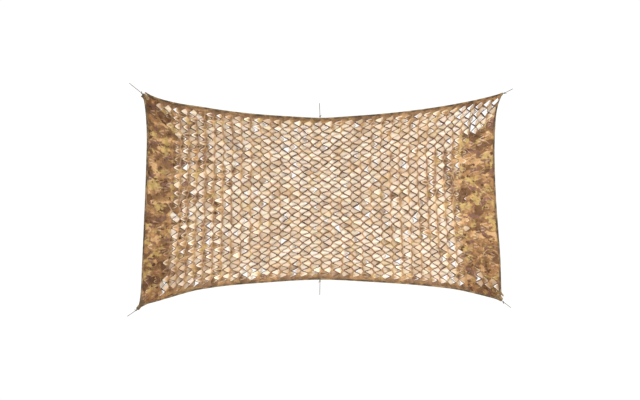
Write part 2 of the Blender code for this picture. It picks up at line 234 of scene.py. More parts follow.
def place_of(column, row):
    """Shares across and down of a place in the die's pattern."""
    t = np.asarray(column, float) / REPEATS
    across = t - MIDDLE_SPREAD / (2 * np.pi) * np.sin(2 * np.pi * t)
    down = np.asarray(row, float) / (ROWS + 0.5)
    taller = ROW_SPREAD * np.sin(2 * np.pi * across) ** 2
    down = down - taller / (2 * np.pi) * np.sin(2 * np.pi * np.clip(down, 0, 1))
    return SIDE_MARGIN + (1 - 2 * SIDE_MARGIN) * across, TOP_MARGIN + (1 - 2 * TOP_MARGIN) * down


def openness_at(column, row):
    """How far the stretch has opened the cloth at a place in the pattern."""
    across, down = place_of(column, row)
    opened = read_off(OPENNESS, across)
    where = on_net(across, down)
    fine = where * PATCHES
    uneven = np.array([noise.fractal(Vector((x, 2.0, z)), 0.8, 2.0, 2) for x, z in fine])
    opened = opened + PATCHINESS * uneven * np.clip(3 * opened, 0, 1)
    opened = opened * read_off(END_ROWS, row)
    for x, z, radius, added in CORNER_PULLS:
        away = np.linalg.norm(where - np.array((x, z)), axis=1)
        opened = opened + added * np.exp(-((away / radius) ** 2))
    return opened


def strip_swing(column, row):
    """Sideways swing of the strip that a place lies on, in repeats: it zigzags row by row."""
    return -STRIP_SWING * np.cos(2 * np.pi * row) * (column == round(column))


chance = np.random.RandomState(41)
flat_places, net_points, net_faces, shaded, painted_glow_and_paling = [], [], [], [], []
border_points = {}


def border_point(column, row):
    """The one point that neighbouring cells share at a place on their border."""
    key = (round(column * 100), round(row * 1000))
    if key not in border_points:
        opened = float(np.clip(openness_at(column, row)[0], 0, 1))
        border_points[key] = len(flat_places)
        flat_places.append((column, row))
        on_strip = column == round(column)
        shaded.append((STRIP_SHADE if on_strip else STRAND_SHADE) * read_off(SHADE_GAIN, opened))
        painted_glow_and_paling.append(read_off(STRAND_PALING, opened) * (1 + 0.9 * on_strip * opened))
        swing = strip_swing(column, row) * min(SWING_GAIN * opened, 1.0)
        net_points.append((column + swing, row, 0.0))
    return border_points[key]


def unevenness(opened):
    """How much neighbouring cuts differ: little where the cloth is closed, most half open."""
    return 0.02 + 0.28 * np.clip(opened, 0, 0.45) - 0.09 * np.clip(opened, 0, 1) ** 2


# Chance differences between cuts. A few of them are pulled wider than those round them.
WIDE_CUTS = 0.05
MOST_PULLED = 1.25
MOST_OPENED = 1.08
CUT_SHIFT = 0.012
CUT_WOBBLE = 0.008
STAND_SPREAD = 0.25
CREASE_SPREAD = 0.0006
# An open cut's edge turns away from the light.
EDGE_SHADE = 0.90

# Borders and edges of all the cuts, still as places in the pattern with a lift off the plane.
cuts = []
for column in range(REPEATS):
    for row in range(ROWS):
        for strip, turn, middle in ((column, 1, row + 1.0), (column + 1, -1, row + 0.5)):
            opened = float(openness_at(strip + 0.3 * turn, middle)[0])
            opened += chance.normal(0, unevenness(opened))
            if chance.random_sample() < WIDE_CUTS:
                opened += 0.20 + 1.2 * min(opened, 0.35)
            pulled = float(np.clip(opened, 0.0, MOST_PULLED))
            opened = min(pulled, MOST_OPENED)
            shift = chance.normal(0, CUT_SHIFT, 2) * (0.1 + opened)
            around, rim = [], []
            for border, shut, wide, stand in CELL:
                around.append(border_point(strip + turn * border[0], middle + border[1]))
                wobble = chance.normal(0, CUT_WOBBLE, 2) * (0.1 + opened)
                c, r = np.array(shut) + opened * (np.array(wide) - shut) + shift + wobble
                rim.append(len(flat_places))
                flat_places.append((strip + turn * shut[0], middle + shut[1]))
                at_base = len(rim) <= BASE_POINTS
                edge_shade = min(EDGE_SHADE, 0.15 + 0.90 * opened)
                shaded.append((STRAND_SHADE if at_base else 1.0) * edge_shade)
                painted_glow_and_paling.append(0.6 * read_off(STRAND_PALING, opened))
                lift = stand * opened * (1 + chance.normal(0, STAND_SPREAD))
                lift += chance.normal(0, CREASE_SPREAD)
                net_points.append((strip + turn * c, middle + r, -lift * turn))
            for i in range(len(CELL)):
                j = (i + 1) % len(CELL)
                net_faces.append((around[i], around[j], rim[j], rim[i])[::turn])
            cuts.append((turn, pulled, rim))

# The uncut cloth between the outermost cuts and the hems. Columns: repeats, rows in.
UPPER_BORDER = ((0, 0), (0.2, 0.5), (0.4, 0.333), (0.6, 0.167), (0.8, 0), (1, 0))
LOWER_BORDER = ((0, 0), (0.2, 0), (0.4, 0.167), (0.6, 0.333), (0.8, 0.5), (1, 0))
last = ROWS + 0.5
for k in range(REPEATS):
    upper = [border_point(k + c, r) for c, r in UPPER_BORDER]
    lower = [border_point(k + c, last - r) for c, r in LOWER_BORDER]
    over = [border_point(k + c, HEM_DROP) for c, r in UPPER_BORDER]
    under = [border_point(k + c, last - HEM_DROP) for c, r in LOWER_BORDER]
    for i in range(5):
        net_faces.append((over[i], upper[i], upper[i + 1], over[i + 1]))
        net_faces.append((lower[i], under[i], under[i + 1], lower[i + 1]))
    net_faces.append((upper[0], border_point(k, 0.5), upper[1]))
    net_faces.append((lower[5], border_point(k + 1, last - 0.5), lower[4]))
side_rows = [HEM_DROP, *np.arange(0, last + 0.1, 0.5), last - HEM_DROP]
for upper_row, lower_row in zip(side_rows, side_rows[1:]):
    for inner, outer in ((0, HEM_SIDE), (REPEATS, REPEATS - HEM_SIDE)):
        places = ((outer, upper_row), (outer, lower_row), (inner, lower_row), (inner, upper_row))
        corners = [border_point(c, r) for c, r in places]
        net_faces.append(tuple(corners) if inner == 0 else tuple(corners[::-1]))

# Every place moves to where the stretch has pulled it, and the closed cloth gets its folds.
column, row, lift = np.array(net_points).T
uneven = np.array([
    [noise.noise(Vector((c * DRIFT_FINENESS, layer, r * DRIFT_FINENESS))) for layer in DRIFT_LAYERS]
    for c, r in zip(column, row)
])
loose = np.clip(openness_at(column, row), 0, 1)
from_top, from_side = np.minimum(row, last - row), np.minimum(column, REPEATS - column)
for from_hem, hem_shade in ((from_top - HEM_DROP, LONG_HEM_SHADE), (from_side - HEM_SIDE, SIDE_HEM_SHADE)):
    dark, hem_reach = hem_shade
    shaded = np.maximum(shaded, dark * np.exp(-((from_hem / hem_reach) ** 2)))
loose = loose * np.clip(from_top / 1.5, 0, 1)
column = column + DRIFT[0] * loose * uneven[:, 0]
row = row + DRIFT[1] * loose * uneven[:, 1]
across, down = place_of(column, row)
flat_xz = on_net(across, down)
for share_across, share_down, lean, length, width, height in FOLDS:
    offset = flat_xz - on_net(share_across, share_down)
    lean = np.radians(lean)
    along = offset @ np.array((np.sin(lean), np.cos(lean)))
    beside = offset @ np.array((np.cos(lean), -np.sin(lean)))
    lift = lift + height * np.exp(-((beside / width) ** 2) - (2 * along / length) ** 2)
ripple = np.array([noise.fractal(Vector((x, 0, z)), 0.6, 2.1, 3) for x, z in flat_xz * RIPPLES])
lift = lift + RIPPLE_HEIGHT * ripple


def gather_shade(places):
    """How dark the cloth lies in the gathers at the corners, at places on the net."""
    shades = [
        dark * np.exp(-((np.linalg.norm(places - np.array((x, z)), axis=1) / radius) ** 2))
        for x, z, radius, dark in GATHERS
    ]
    return np.max(shades, axis=0)


shaded = np.maximum(shaded, gather_shade(flat_xz))
shaded = shaded.tolist()
points = np.column_stack((flat_xz[:, 0], -lift, flat_xz[:, 1])).tolist()

# The tongues: each is hinged on its cut's base. It lies in its cut where the cloth is closed, and
# where the cuts open it curls up from its base. Its colour is painted paler there, a painted glow of
# light through the thin cloth, first at the tip and along the cut.

# The flat tongue. Its base's place and half width, then, from row to row, repeats out from its
# strip and half its width in rows of the pattern.
BASE_COLUMN = 0.070
BASE_HALF = 0.26
TONGUE_ROWS = ((0.110, 0.261), (0.290, 0.225), (0.460, 0.155), (0.600, 0.080), (0.655, 0.0))
TONGUE_LENGTH = 0.585
# The sides of its cut, as places among the cut's edge points from the base to the tip.
RIM_COLUMNS = (0.070, 0.230, 0.440, 0.600, 0.660)
RIM_SIDES = {-1: (0, 9, 8, 7, 6), 1: (2, 3, 4, 5, 6)}
# How far a tongue stands free of its cut. Columns: openness, share.
STANDS_FREE = ((0.08, 0.0), (0.40, 1.0))
# Turn of a tongue out of the net's plane. Columns: openness, degrees.
TONGUE_TURN = (
    (0.00, 2.5), (0.20, 9.0), (0.35, 19.0), (0.50, 27.0), (0.62, 28.0), (0.75, 22.0),
    (0.90, 15.0), (1.08, 13.0), (1.25, 55.0),
)
# The pull stretches a tongue with its cut, so that it still fills most of the opening, and draws
# it narrower. Columns: openness, share of the cut's length; openness, share of its flat width.
TONGUE_FILL = ((0.20, 0.99), (0.45, 0.985), (0.80, 0.97), (1.08, 0.96), (1.25, 0.50))
TONGUE_WIDTH = ((0.15, 0.98), (0.35, 1.04), (0.70, 0.91), (0.95, 0.81))
LEAST_STRETCH = 0.985
# How far a tongue laps over the sides of a shut cut and lies off them, and how far it may reach.
OVERLAP = 0.0012
LAID_OFF = 0.0009
TONGUE_LIMIT = 0.0395
# All tongues that point left come forward. So does this share of those that point right, which
# then turn by so much less.
FORWARD_SHARE = 0.70
FORWARD_TURN = 0.62
# Curl from row to row in degrees, and chance differences in curl, fill, cupping and twist.
CURL = 0.8
CURL_SPREAD = 2.5
FILL_SPREAD = 0.035
CUP_SPREAD = 0.0016
TWIST_SPREAD = 0.10
# A few tongues are creased at the base and stand up further, by so many degrees.
CREASED_TONGUES = 0.08
CREASED_TURN = 25
# How pale a tongue's painted glow is at the least, and the share of tongues with painted highlit margins.
LEAST_PALE = 0.70
HIGHLIT_TONGUES = 0.22
# In half-open cuts a tongue's painted glow is even from base to tip. The openness meant, and its reach.
HALF_OPEN = (0.73, 0.18)
# How dark a tongue's painted shade is in the gathers, at its margins and, if it points left, all over.
TONGUE_GATHER = 0.85
MARGIN_SHADE = 0.66
LEFTWARD_SHADE = 0.24


def ramp_up(value, start, reach):
    """Goes from 0 to 1 as a value goes from its start to the end of its reach."""
    return np.clip((value - start) / reach, 0, 1)


def half_openness(opened):
    """1 where cuts are half open, and less both where they are shut and where they are wide."""
    middle, reach = HALF_OPEN
    return np.exp(-(((opened - middle) / reach) ** 2))


def glow_of(opened, along, beside):
    """How strong a tongue's painted glow is, most in open cuts, at the tip and at the margins."""
    tone_and_light = 1.15 * opened ** 1.15 + 0.24 * half_openness(opened) + along + 0.35 * beside - 0.85
    return np.clip(tone_and_light / 0.40, 0, 1) * np.clip(4 * opened, 0, 1)


for turn, opened, rim in cuts:
    base = np.array([points[i] for i in rim[:BASE_POINTS]])
    tip = np.array(points[rim[TIP_POINT]])
    forward = tip - base[1]
    forward[1] = 0
    forward /= np.linalg.norm(forward)
    sideways = base[2] - base[0]
    spread = np.linalg.norm(sideways) / (2 * BASE_HALF * FLAT_ROW)
    sideways /= np.linalg.norm(sideways)
    forwards = turn < 0 or chance.random_sample() < FORWARD_SHARE
    out = np.array((0.0, -1.0 if forwards else 1.0, 0.0))
    stands = read_off(STANDS_FREE, opened)
    beside_cut = {side: np.array([points[rim[i]] for i in order]) for side, order in RIM_SIDES.items()}
    angle = read_off(TONGUE_TURN, opened) + np.clip(chance.normal(0, 2 + 6 * opened), -13, 13)
    if turn > 0:
        angle *= FORWARD_TURN if forwards else 1.0 - 0.30 * ramp_up(opened, 0.55, 0.3)
    fill = read_off(TONGUE_FILL, opened)
    fill += np.clip(chance.normal(0, FILL_SPREAD), -0.10, 0.06) * (opened > 0.2)
    length = fill * np.linalg.norm(tip - base.mean(axis=0)) / np.cos(np.radians(angle + 5))
    give = max(LEAST_STRETCH, length / (TONGUE_LENGTH * FLAT_REPEAT))
    if chance.random_sample() < CREASED_TONGUES:
        angle += CREASED_TURN * np.clip(3 * opened, 0, 1)
    fullness = read_off(TONGUE_WIDTH, opened)
    # How strong this tongue's painted glow is.
    pale = chance.uniform(LEAST_PALE, 1.0)
    if turn < 0:
        pale *= np.interp(opened, (0.6, 0.9), (1.0, 0.88))
    pale *= 1 - 0.20 * half_openness(opened)
    # Some tongues get a painted highlight along their margins.
    has_margin_highlight = chance.random_sample() < HIGHLIT_TONGUES
    margin_highlight = chance.uniform(0.30, 0.70) if has_margin_highlight else chance.uniform(0, 0.06)
    gathered = TONGUE_GATHER * gather_shade(base[[1]][:, ::2])[0]
    if opened < 0.2:
        gathered = max(gathered, np.mean([shaded[i] for i in rim]))
    curl = np.clip(chance.normal(CURL, CURL_SPREAD), -4, 5) * (0.4 + opened)
    cup = chance.normal(0, CUP_SPREAD)
    twist = chance.normal(0, TWIST_SPREAD) * (0.3 + opened)
    centre = base.mean(axis=0)
    bowed = (base - centre) @ forward
    reach = BASE_COLUMN
    previous = rim[:BASE_POINTS]
    strip_column = flat_places[rim[1]][0] - turn * BASE_COLUMN
    middle_row = flat_places[rim[1]][1]
    for tongue_column, half in TONGUE_ROWS:
        angle += curl
        step = (tongue_column - reach) * FLAT_REPEAT * give
        lean = np.radians(angle)
        centre = centre + step * (forward * np.cos(lean) + out * np.sin(lean))
        reach = tongue_column
        near_base = np.clip(1 - (reach - BASE_COLUMN) / 0.40, 0, 1)
        twisted = twist * reach * 4
        upright = sideways * np.cos(twisted) + out * np.sin(twisted)
        in_cut = {
            side: np.array([np.interp(reach, RIM_COLUMNS, edge_points[:, i]) for i in range(3)])
            for side, edge_points in beside_cut.items()
        }
        in_cut[0] = (in_cut[-1] + in_cut[1]) / 2
        for side in (-1, 1):
            in_cut[side] = in_cut[side] + side * OVERLAP * sideways
        lifted = out * (LAID_OFF + reach * FLAT_REPEAT * np.sin(lean))
        narrowed = fullness + (1 - fullness) * near_base
        row_now = []
        for side in (-1, 0, 1) if half else (0,):
            row_now.append(len(points))
            place = centre + out * cup * (1 - side * side) + forward * bowed[side + 1] * near_base
            place = place + upright * side * half * FLAT_ROW * spread * narrowed
            place = stands * place + (1 - stands) * (in_cut[side] + lifted)
            place[1] = np.clip(place[1], -TONGUE_LIMIT, TONGUE_LIMIT)
            points.append(tuple(place))
            flat_places.append((strip_column + turn * tongue_column, middle_row + side * half))
            margin_shade = MARGIN_SHADE * abs(side) * ramp_up(opened, 0.65, 0.25)
            leftward_shade = LEFTWARD_SHADE * (turn < 0) * ramp_up(opened, 0.50, 0.30)
            shaded.append(max(gathered, margin_shade, leftward_shade))
            beside = abs(side) if half else 1
            # The larger of the painted glow and, on some tongues, a painted highlight along the margins.
            painted_glow_and_paling.append(max(pale * glow_of(opened, tongue_column, beside), margin_highlight * beside))
        for i in range(2):
            ahead = (row_now[i + 1], row_now[i]) if half else (row_now[0],)
            net_faces.append((previous[i], previous[i + 1], *ahead)[::turn])
        previous = row_now

net_data = bpy.data.meshes.new("net_sheet")
net_data.from_pydata(points, [], net_faces)
# The attributes hold the painted glow with the strands' paling, and the painted shade.
for mark_name, mark in (("painted_glow_and_paling", painted_glow_and_paling), ("shaded", shaded)):
    attribute = net_data.attributes.new(mark_name, "FLOAT", "POINT")
    attribute.data.foreach_set("value", np.array(mark, np.float32))
net_sheet = bpy.data.objects.new("net_sheet", net_data)
bpy.context.collection.objects.link(net_sheet)
flat_map = net_data.uv_layers.new(name="flat_cloth")
corner_verts = np.empty(len(net_data.loops), int)
net_data.loops.foreach_get("vertex_index", corner_verts)
flat_uv = np.array(flat_places)[corner_verts] * (FLAT_REPEAT, -FLAT_ROW)
flat_map.data.foreach_set("uv", flat_uv.astype(np.float32).ravel())
bpy.context.view_layer.objects.active = net_sheet
net_sheet.select_set(True)
thicken = net_sheet.modifiers.new("Cloth", "SOLIDIFY")
thicken.thickness = CLOTH_THICKNESS
thicken.offset = 0
bpy.ops.object.modifier_apply(modifier="Cloth")
bpy.ops.object.shade_smooth_by_angle(angle=SHARPEST_FOLD)
net_sheet.select_set(False)


def add_node(tree, kind, x, y, **settings):
    """A shader node with its settings, and its sockets' values by their names."""
    made = tree.nodes.new(kind)
    made.location = (x, y)
    sockets = settings.pop("sockets", {})
    for name, value in settings.items():
        setattr(made, name, value)
    for name, value in sockets.items():
        made.inputs[name].default_value = value
    return made


def add_noise(tree, x, y, vector, scale, detail, roughness=0.5, distortion=0.0):
    """Noise that is read at a vector."""
    made = add_node(
        tree, "ShaderNodeTexNoise", x, y,
        sockets={"Scale": scale, "Detail": detail, "Roughness": roughness, "Distortion": distortion},
    )
    tree.links.new(vector, made.inputs["Vector"])
    return made


def add_bump(tree, x, y, height, strength, distance, under=None):
    """Bump from a height, on top of another bump where one is given."""
    made = add_node(tree, "ShaderNodeBump", x, y, sockets={"Strength": strength, "Distance": distance})
    tree.links.new(height, made.inputs["Height"])
    if under is not None:
        tree.links.new(under, made.inputs["Normal"])
    return made.outputs[0]


def add_ramp(tree, x, y, fac, stops):
    """A colour ramp on a value. Stops: place, colour or grey."""
    ramp = add_node(tree, "ShaderNodeValToRGB", x, y)
    elements = ramp.color_ramp.elements
    while len(elements) < len(stops):
        elements.new(0.5)
    for element, (place, colour) in zip(elements, stops):
        element.position = place
        element.color = (*colour, 1) if isinstance(colour, tuple) else (colour, colour, colour, 1)
    tree.links.new(fac, ramp.inputs["Fac"])
    return ramp.outputs["Color"]


def add_mix(tree, x, y, fac, first, second, blend="MIX"):
    """Two colours mixed by a factor, each given as a socket or as a plain value."""
    mix = add_node(tree, "ShaderNodeMix", x, y, data_type="RGBA", blend_type=blend)
    for socket, value in ((mix.inputs[0], fac), (mix.inputs[6], first), (mix.inputs[7], second)):
        if isinstance(value, bpy.types.NodeSocket):
            tree.links.new(value, socket)
        elif isinstance(value, tuple):
            socket.default_value = (*value, 1)
        else:
            socket.default_value = value
    return mix.outputs[2]


def add_material(name, sockets):
    """A material whose shader has the given values: itself, its node tree and that shader."""
    material = bpy.data.materials.new(name)
    material.use_nodes = True
    shader = material.node_tree.nodes["Principled BSDF"]
    for socket, value in sockets.items():
        shader.inputs[socket].default_value = value
    return material, material.node_tree, shader


# The print: its ground, then blotches over it. Columns: offset, scale, noise values between which
# a blotch's edge lies, colour.
PRINT_GROUND = (0.315, 0.167, 0.067)
PRINT = (
    ((0.0, 0.0), 8.0, 0.47, 0.52, (0.205, 0.103, 0.040)),
    ((3.1, 1.7), 9.0, 0.54, 0.59, (0.51, 0.302, 0.138)),
    ((7.3, 4.1), 8.5, 0.54, 0.58, (0.41, 0.275, 0.095)),
    ((11.9, 8.3), 8.0, 0.53, 0.58, (0.140, 0.065, 0.025)),
    ((17.3, 2.9), 10.0, 0.58, 0.62, (0.185, 0.090, 0.058)),
    ((5.7, 13.1), 16.0, 0.60, 0.64, (0.080, 0.034, 0.011)),
)
# Painted highlight on crests, the painted half glow, and the full glow in its palest and yellowest tints.
CREST_HIGHLIGHT = (0.72, 0.48, 0.30)
PAINTED_HALF_GLOW = (0.66, 0.472, 0.292)
PAINTED_GLOW = (0.905, 0.80, 0.705)
PAINTED_GLOW_TINT = (0.905, 0.83, 0.67)
# Light that a shaded place still gets. Columns: how shaded, share of grey or of red, green, blue.
SHADE_TINTS = ((0.15, 1.0), (0.72, (0.58, 0.49, 0.40)), (1.0, (0.32, 0.25, 0.18)))

# Printed polyester: blotches in flat cloth coordinates, a fine weave and soft creases, with
# painted glow, highlights and shade.
cloth_sockets = {
    "Roughness": 0.78, "Sheen Weight": 0.12, "Sheen Roughness": 0.45, "Specular IOR Level": 0.30,
}
printed_cloth, tree, shader = add_material("printed_cloth", cloth_sockets)
flat = add_node(tree, "ShaderNodeUVMap", -1800, 0, uv_map="flat_cloth").outputs["UV"]
ragged = add_noise(tree, -1600, -200, flat, 60.0, 3.0, 0.6)
shifted = add_node(tree, "ShaderNodeVectorMath", -1400, 0, operation="MULTIPLY_ADD")
shifted.inputs[1].default_value = (0.012, 0.012, 0.0)
tree.links.new(ragged.outputs["Color"], shifted.inputs[0])
tree.links.new(flat, shifted.inputs[2])


def blotch(x, y, offset, scale, low, high):
    """A mask of blotches, 0 outside and 1 inside."""
    moved = add_node(tree, "ShaderNodeMapping", x, y)
    moved.inputs["Location"].default_value = (*offset, 0)
    moved.inputs["Scale"].default_value = (1.0, 1.15, 1.0)
    tree.links.new(shifted.outputs[0], moved.inputs["Vector"])
    spots = add_noise(tree, x + 180, y, moved.outputs[0], scale, 3.0, 0.55)
    return add_ramp(tree, x + 360, y, spots.outputs["Fac"], ((low, 0), (high, 1)))


colour = PRINT_GROUND
for layer, (offset, scale, low, high, blotch_colour) in enumerate(PRINT):
    mask = blotch(-1200, 300 - 300 * layer, offset, scale, low, high)
    colour = add_mix(tree, 200 * layer - 600, 300 - 100 * layer, mask, colour, blotch_colour)
# Mottled tone with painted shade: the same noise makes the crumple bump, and the colour is darker in its
# hollows and lighter on its rises.
tone_and_light = add_noise(tree, -600, -500, flat, 24.0, 4.0, 0.65)
mottle_and_painted_shade = add_ramp(tree, -300, -500, tone_and_light.outputs["Fac"], ((0.3, 0.68), (0.7, 1.34)))
colour = add_mix(tree, 500, 0, 1.0, colour, mottle_and_painted_shade, "MULTIPLY")

# Painted highlight: thin pale lines on noise contours, in patches, as if light caught fold crests.
crests = add_noise(tree, -600, 800, flat, 5.5, 0.0, distortion=0.35)
crest_line = add_ramp(
    tree, -300, 800, crests.outputs["Fac"], ((0.488, 0), (0.499, 0.5), (0.501, 0.5), (0.512, 0))
)
crested = blotch(-1200, 1100, (2.3, 9.7), 9.0, 0.47, 0.58)
crest_highlight_mask = add_mix(tree, 0, 800, 1.0, crest_line, crested, "MULTIPLY")
colour = add_mix(tree, 700, 0, crest_highlight_mask, colour, CREST_HIGHLIGHT)

# The painted glow: tongues and strands are paled towards the painted half glow, then the full glow.
glow_and_paling = add_node(tree, "ShaderNodeAttribute", 200, -500, attribute_name="painted_glow_and_paling").outputs["Fac"]
paler = add_ramp(tree, 500, -500, glow_and_paling, ((0.10, 0), (0.80, 0.88)))
glow_tint_mask = blotch(-1200, 1500, (13.3, 6.1), 12.0, 0.44, 0.56)
glow_tint = add_mix(tree, 300, 500, glow_tint_mask, PAINTED_GLOW, PAINTED_GLOW_TINT)
full_glow_share = add_ramp(tree, 300, 800, glow_and_paling, ((0.45, 0), (0.90, 1)))
ground = add_mix(tree, 600, 500, full_glow_share, PAINTED_HALF_GLOW, glow_tint)
colour = add_mix(tree, 900, 0, paler, colour, ground)

shades = add_node(tree, "ShaderNodeAttribute", 800, -500, attribute_name="shaded").outputs["Fac"]
darker = add_ramp(tree, 1000, -500, shades, SHADE_TINTS)
colour = add_mix(tree, 1300, 0, 1.0, colour, darker, "MULTIPLY")
tree.links.new(colour, shader.inputs["Base Color"])

threads = []
for direction, y in (("X", -800), ("Y", -1000)):
    thread = add_node(
        tree, "ShaderNodeTexWave", -600, y, wave_type="BANDS", bands_direction=direction,
        sockets={"Scale": 260.0, "Distortion": 0.4, "Detail": 1.0},
    )
    tree.links.new(flat, thread.inputs["Vector"])
    threads.append(thread.outputs["Fac"])
weave = add_node(tree, "ShaderNodeMath", -300, -900, operation="MAXIMUM")
tree.links.new(threads[0], weave.inputs[0])
tree.links.new(threads[1], weave.inputs[1])
fine = add_bump(tree, 200, -800, weave.outputs[0], 0.35, 0.0003)
crease = add_bump(tree, 400, -800, tone_and_light.outputs["Fac"], 0.6, 0.004, fine)
tree.links.new(crease, shader.inputs["Normal"])
net_data.materials.append(printed_cloth)
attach(net_sheet, "root")
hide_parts("net_cloth")

# ---- Hem ----
# The cloth's four edges are each rolled over twice and sewn down. At the corners the rolls
# cross and end in short ears where the ties gather them.

# One roll: its size, how far in its middle lies as a share of its width, how far from its ends
# they are rounded, its rings' distance and the points of a ring.
HEM_WIDTH = 0.0150
HEM_DEPTH = 0.0085
HEM_INSET = 0.48
HEM_ROUNDING = 0.010
HEM_STEP = 0.008
HEM_AROUND = 12
# Uneven swelling of a roll. Columns: fineness along it and round it, share of its size.
HEM_WRINKLES = ((38, 0.9, 0.10), (110, 1.7, 0.06))
# Where each roll starts and ends past its edge's own line. Columns: edge, its inward side, the
# shares of the edge that it follows, points before them, points after them.
HEM_ROLLS = (
    (top, 1, (0.020, 0.990), ((-1.465, 0.212), (-1.446, 0.199)), ((1.517, 0.200), (1.529, 0.208))),
    (right, 1, (0.012, 0.965), ((1.530, 0.211), (1.524, 0.194)), ((1.518, -1.470), (1.535, -1.494))),
    (bottom, -1, (0.024, 0.985), ((-1.529, -1.608), (-1.519, -1.588)), ((1.512, -1.527), (1.520, -1.534))),
    (left, -1, (0.030, 0.975), ((-1.498, 0.182), (-1.480, 0.176)), ((-1.508, -1.565), (-1.526, -1.602))),
)
# Gathered cloth between the rolls at three corners, as the points that it follows.
CORNER_TUCKS = (
    ((-1.487, 0.197), (-1.470, 0.187), (-1.452, 0.172), (-1.430, 0.150)),
    ((-1.530, -1.606), (-1.512, -1.580), (-1.494, -1.560), (-1.466, -1.535)),
    ((1.522, -1.528), (1.514, -1.512), (1.500, -1.496), (1.478, -1.476)),
)
TUCK_WIDTH = 0.030


def inward_of(line, side):
    """Directions square to a line, on the side of it that faces into the cloth."""
    run = np.gradient(line, axis=0)
    return side * np.column_stack((run[:, 1], -run[:, 0])) / np.linalg.norm(run, axis=1)[:, None]


def travelled_along(line):
    """Distance along a line at each of its points."""
    return np.concatenate(((0,), np.cumsum(np.linalg.norm(np.diff(line, axis=0), axis=1))))


def roll_line(roll):
    """The middle line of one hem roll, just inside its edge, and the side that faces inward."""
    along, side, (first, last_share), before, after = roll
    line = along(np.linspace(first, last_share, 200))
    return np.concatenate((before, line + inward_of(line, side) * HEM_WIDTH * HEM_INSET, after)), side


def even_points(line, side):
    """Evenly spaced points on a line, the side at each that faces inward, and their distances."""
    travelled = travelled_along(line)
    count = int(travelled[-1] / HEM_STEP) + 1
    even = np.linspace(0, travelled[-1], count)
    line = np.column_stack([np.interp(even, travelled, line[:, i]) for i in (0, 1)])
    for _ in range(3):
        line[1:-1] = (line[:-2] + 2 * line[1:-1] + line[2:]) / 4
    return line, inward_of(line, side), even


def hem_surface(middle, inward, travelled, total, turn, width):
    """A point on a hem roll's surface, at a turn round it from the side that faces inward."""
    short = 1 - min(travelled, total - travelled) / HEM_ROUNDING
    end = np.sqrt(np.clip(1 - short ** 2, 0.02, 1)) if short > 0 else 1.0
    swell = 1.0
    for fine, fine_round, share in HEM_WRINKLES:
        swell += share * noise.noise(Vector((middle[0] * fine, turn * fine_round, middle[1] * fine)))
    swell *= end
    flat = abs(np.cos(turn)) ** 0.75 * np.sign(np.cos(turn))
    high = abs(np.sin(turn)) ** 0.85 * np.sign(np.sin(turn))
    x, z = middle + inward * flat * width / 2 * swell
    return (x, high * HEM_DEPTH / 2 * swell, z)


def tube_walls(start, around, travelled):
    """Faces of a tube from its first point on, and their places on its map, ring by ring."""
    faces, places = [], []
    for ring in range(len(travelled) - 1):
        near, far = start + ring * around, start + (ring + 1) * around
        u = (travelled[ring], travelled[ring + 1])
        for step in range(around):
            after = (step + 1) % around
            v = (step / around, (step + 1) / around)
            faces.append((near + step, near + after, far + after, far + step))
            places.extend(((u[0], v[0]), (u[0], v[1]), (u[1], v[1]), (u[1], v[0])))
    return faces, places


def closed_piece(name, points, faces, smooth_up_to, map_name=None, map_places=None):
    """A closed piece with its faces outward, smooth over all edges up to an angle in degrees."""
    data = bpy.data.meshes.new(name)
    data.from_pydata(points, [], faces)
    made = bpy.data.objects.new(name, data)
    bpy.context.collection.objects.link(made)
    if map_name:
        piece_map = data.uv_layers.new(name=map_name)
        piece_map.data.foreach_set("uv", np.array(map_places, np.float32).ravel())
    bpy.context.view_layer.objects.active = made
    made.select_set(True)
    bpy.ops.object.mode_set(mode="EDIT")
    bpy.ops.mesh.select_all(action="SELECT")
    bpy.ops.mesh.normals_make_consistent(inside=False)
    bpy.ops.object.mode_set(mode="OBJECT")
    bpy.ops.object.shade_smooth_by_angle(angle=np.radians(smooth_up_to))
    made.select_set(False)
    return made


hem_points, hem_faces, hem_uv = [], [], []
tucks = [(np.array(tuck), 1, TUCK_WIDTH) for tuck in CORNER_TUCKS]
for middle_line, side, width in [(*roll_line(roll), HEM_WIDTH) for roll in HEM_ROLLS] + tucks:
    line, inward, travelled = even_points(middle_line, side)
    start = len(hem_points)
    for middle, inside, way in zip(line, inward, travelled):
        for step in range(HEM_AROUND):
            turn = 2 * np.pi * step / HEM_AROUND
            hem_points.append(hem_surface(middle, inside, way, travelled[-1], turn, width))
    walls, wall_places = tube_walls(start, HEM_AROUND, travelled)
    hem_faces.extend(walls)
    hem_uv.extend(wall_places)
    for ring, way in ((0, 1), (len(line) - 1, -1)):
        first = start + ring * HEM_AROUND
        cap = tuple(range(first, first + HEM_AROUND))[::-way]
        hem_faces.append(cap)
        hem_uv.extend((travelled[ring], (i - first) / HEM_AROUND) for i in cap)
hem = closed_piece("hem", hem_points, hem_faces, 60, "roll", hem_uv)

hem_sockets = {"Roughness": 0.8, "Sheen Weight": 0.25, "Specular IOR Level": 0.3}
hem_cloth, tree, shader = add_material("hem_cloth", hem_sockets)
spot = add_node(tree, "ShaderNodeTexCoord", -1200, 0).outputs["Object"]
blots = add_noise(tree, -1000, 0, spot, 16.0, 3.0, 0.55)
# The roll's dark print, darkened further as painted shade of the roll.
dark_print_and_shade = add_ramp(
    tree, -700, 0, blots.outputs["Fac"],
    ((0.40, (0.055, 0.034, 0.014)), (0.50, (0.12, 0.076, 0.033)), (0.60, (0.25, 0.160, 0.075))),
)
around = add_node(tree, "ShaderNodeUVMap", -1200, -300, uv_map="roll").outputs["UV"]
split = add_node(tree, "ShaderNodeSeparateXYZ", -1000, -300)
tree.links.new(around, split.inputs[0])
